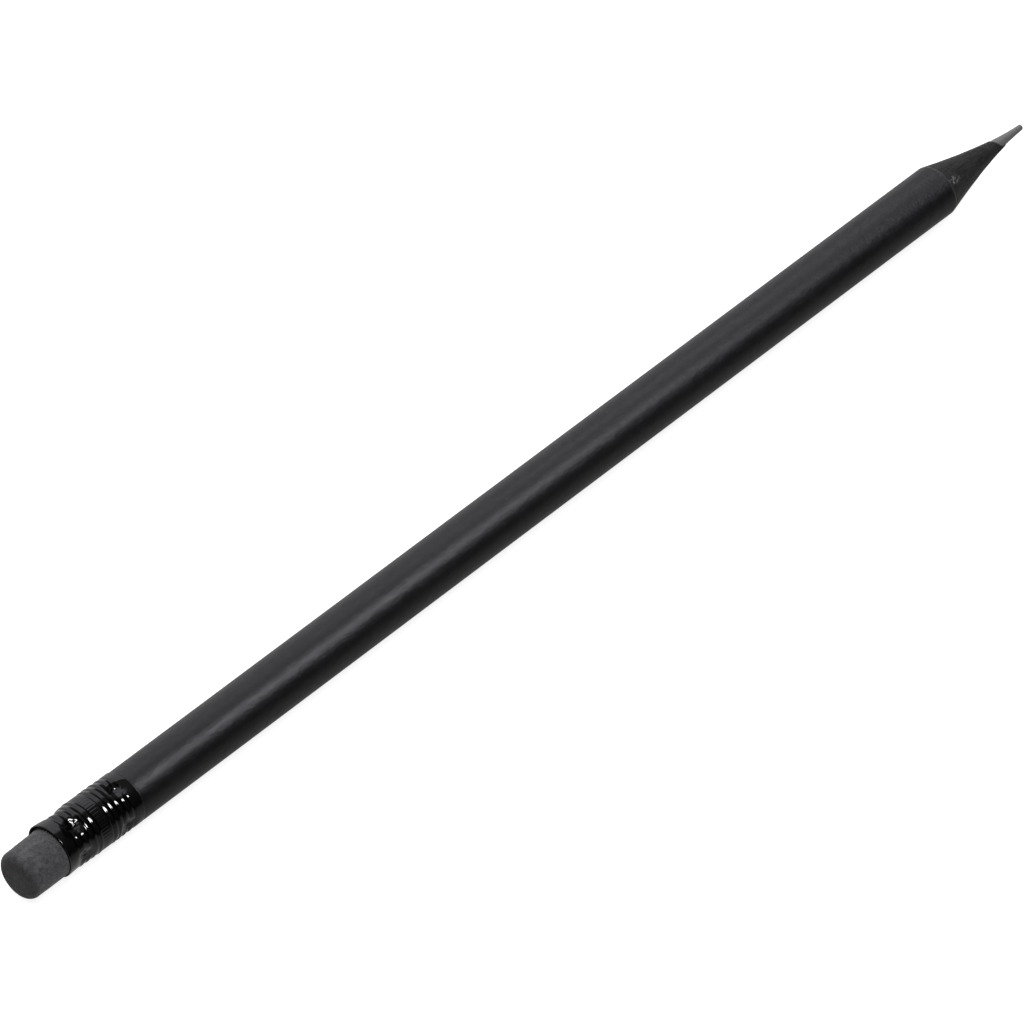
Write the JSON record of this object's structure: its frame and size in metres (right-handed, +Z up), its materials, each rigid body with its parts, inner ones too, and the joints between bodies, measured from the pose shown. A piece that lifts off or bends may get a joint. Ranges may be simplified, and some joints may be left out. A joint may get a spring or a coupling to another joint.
{
  "type": "graphite pencil",
  "caption": "Round lacquered pencil with a graphite core in a glued wood casing, sharpened to a hollow cone, with a crimped metal ferrule holding a cylindrical eraser.",
  "frame": {"origin": "bottom centre of the box, on the surface that the pencil lies on, halfway along its length", "axes": "+X along the pencil towards the sharpened point, +Z up from the surface, and the pencil's axis is parallel to X"},
  "size_m": [0.19, 0.0076, 0.0076],
  "materials": {
    "dyed_wood": "matt, cut across the grain, black-dyed through",
    "wood_glue": "dull dried glue film",
    "graphite": "sharpened graphite with a soft grey sheen",
    "lacquer": "satin black lacquer with fine pits",
    "ferrule_metal": "high-gloss black enamel on thin rolled metal",
    "eraser_rubber": "matt, finely mottled"
  },
  "bodies": {
    "root": {"upper_slat": "dyed_wood", "lower_slat": "dyed_wood", "glue_line_left": "wood_glue", "glue_line_right": "wood_glue", "graphite_core": "graphite", "lacquer_coat": "lacquer", "ferrule": "ferrule_metal", "eraser_plug": "eraser_rubber"}
  },
  "joints": []
}
